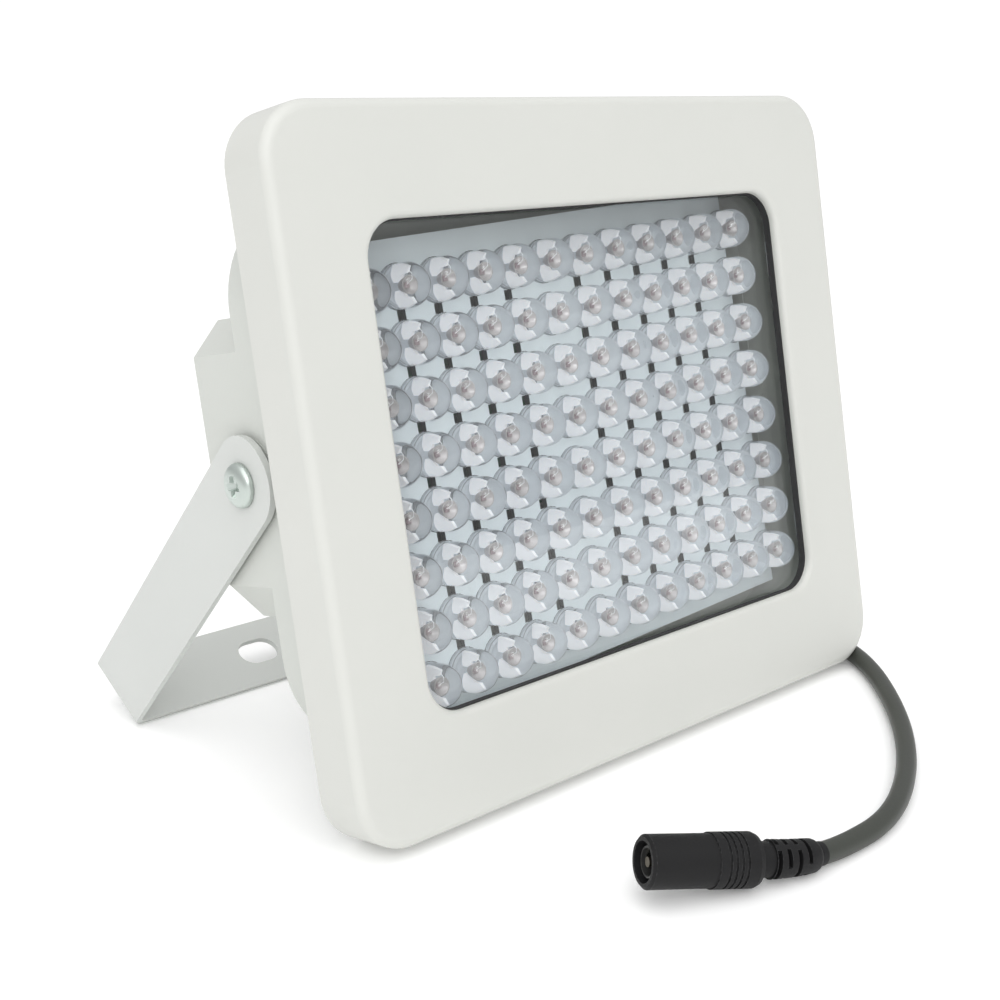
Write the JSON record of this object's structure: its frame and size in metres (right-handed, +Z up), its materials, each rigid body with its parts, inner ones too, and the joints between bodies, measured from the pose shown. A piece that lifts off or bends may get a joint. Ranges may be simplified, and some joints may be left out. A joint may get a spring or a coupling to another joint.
{
  "type": "infrared illuminator",
  "caption": "Infrared flood illuminator: shallow white cast box with a framed window over rows of clear lamps, on a folded swivel bracket, with a short power lead and in-line socket.",
  "frame": {"origin": "on the table under the middle of the head and bracket", "axes": "+Z up, -Y out of the front (the face leans back), +X to the right seen from the front"},
  "size_m": [0.1795, 0.1806, 0.152],
  "materials": {
    "white_paint": "satin powder coat",
    "black_rubber": "matte",
    "black_cable": "satin",
    "clear_glass": "polished",
    "spring_steel": "plain",
    "zinc_steel": "zinc plated",
    "nickel": "bright",
    "board_white": "white solder mask",
    "board_green": "solder mask",
    "grey_pad": "soft heat pad",
    "ferrite": "matte",
    "can_aluminium": "plain",
    "black_plastic": "matte",
    "red_wire": "plain",
    "lamp_clear": "clear epoxy"
  },
  "bodies": {
    "head": {"front_bezel": "white_paint", "glass_seal": "black_rubber", "front_glass": "clear_glass", "glass_clips": "spring_steel", "clip_screws": "zinc_steel", "housing_gasket": "black_rubber", "rear_housing": "white_paint", "bezel_screws": "zinc_steel", "lamp_board": "board_white", "board_pads": "grey_pad", "driver_board": "board_green", "driver_screws": "zinc_steel", "choke": "ferrite", "capacitors": "can_aluminium", "transistors": "black_plastic", "lamp_lead": "red_wire", "inner_lead": "red_wire", "gland_washer": "black_rubber", "gland_body": "black_plastic", "gland_locknut": "black_plastic", "gland_nut": "black_plastic", "gland_seal": "black_rubber", "pivot_screws": "zinc_steel", "pivot_washers": "zinc_steel", "lamp_row_1": "lamp_clear", "lamp_row_2": "lamp_clear", "lamp_row_3": "lamp_clear", "lamp_row_4": "lamp_clear", "lamp_row_5": "lamp_clear", "lamp_row_6": "lamp_clear", "lamp_row_7": "lamp_clear", "lamp_row_8": "lamp_clear", "power_lead": "black_cable", "strain_relief": "black_rubber", "connector_body": "black_plastic", "socket_insulator": "black_plastic", "centre_pin": "nickel", "contact_spring": "nickel"},
    "stand": {"bracket": "white_paint"}
  },
  "joints": [
    {"name": "bracket_pivot", "type": "hinge", "parent": "head", "child": "stand", "pos_m": [0, -0.0152, 0.07333], "axis": [1, 0, 0], "range_deg": [-36, 128]}
  ]
}
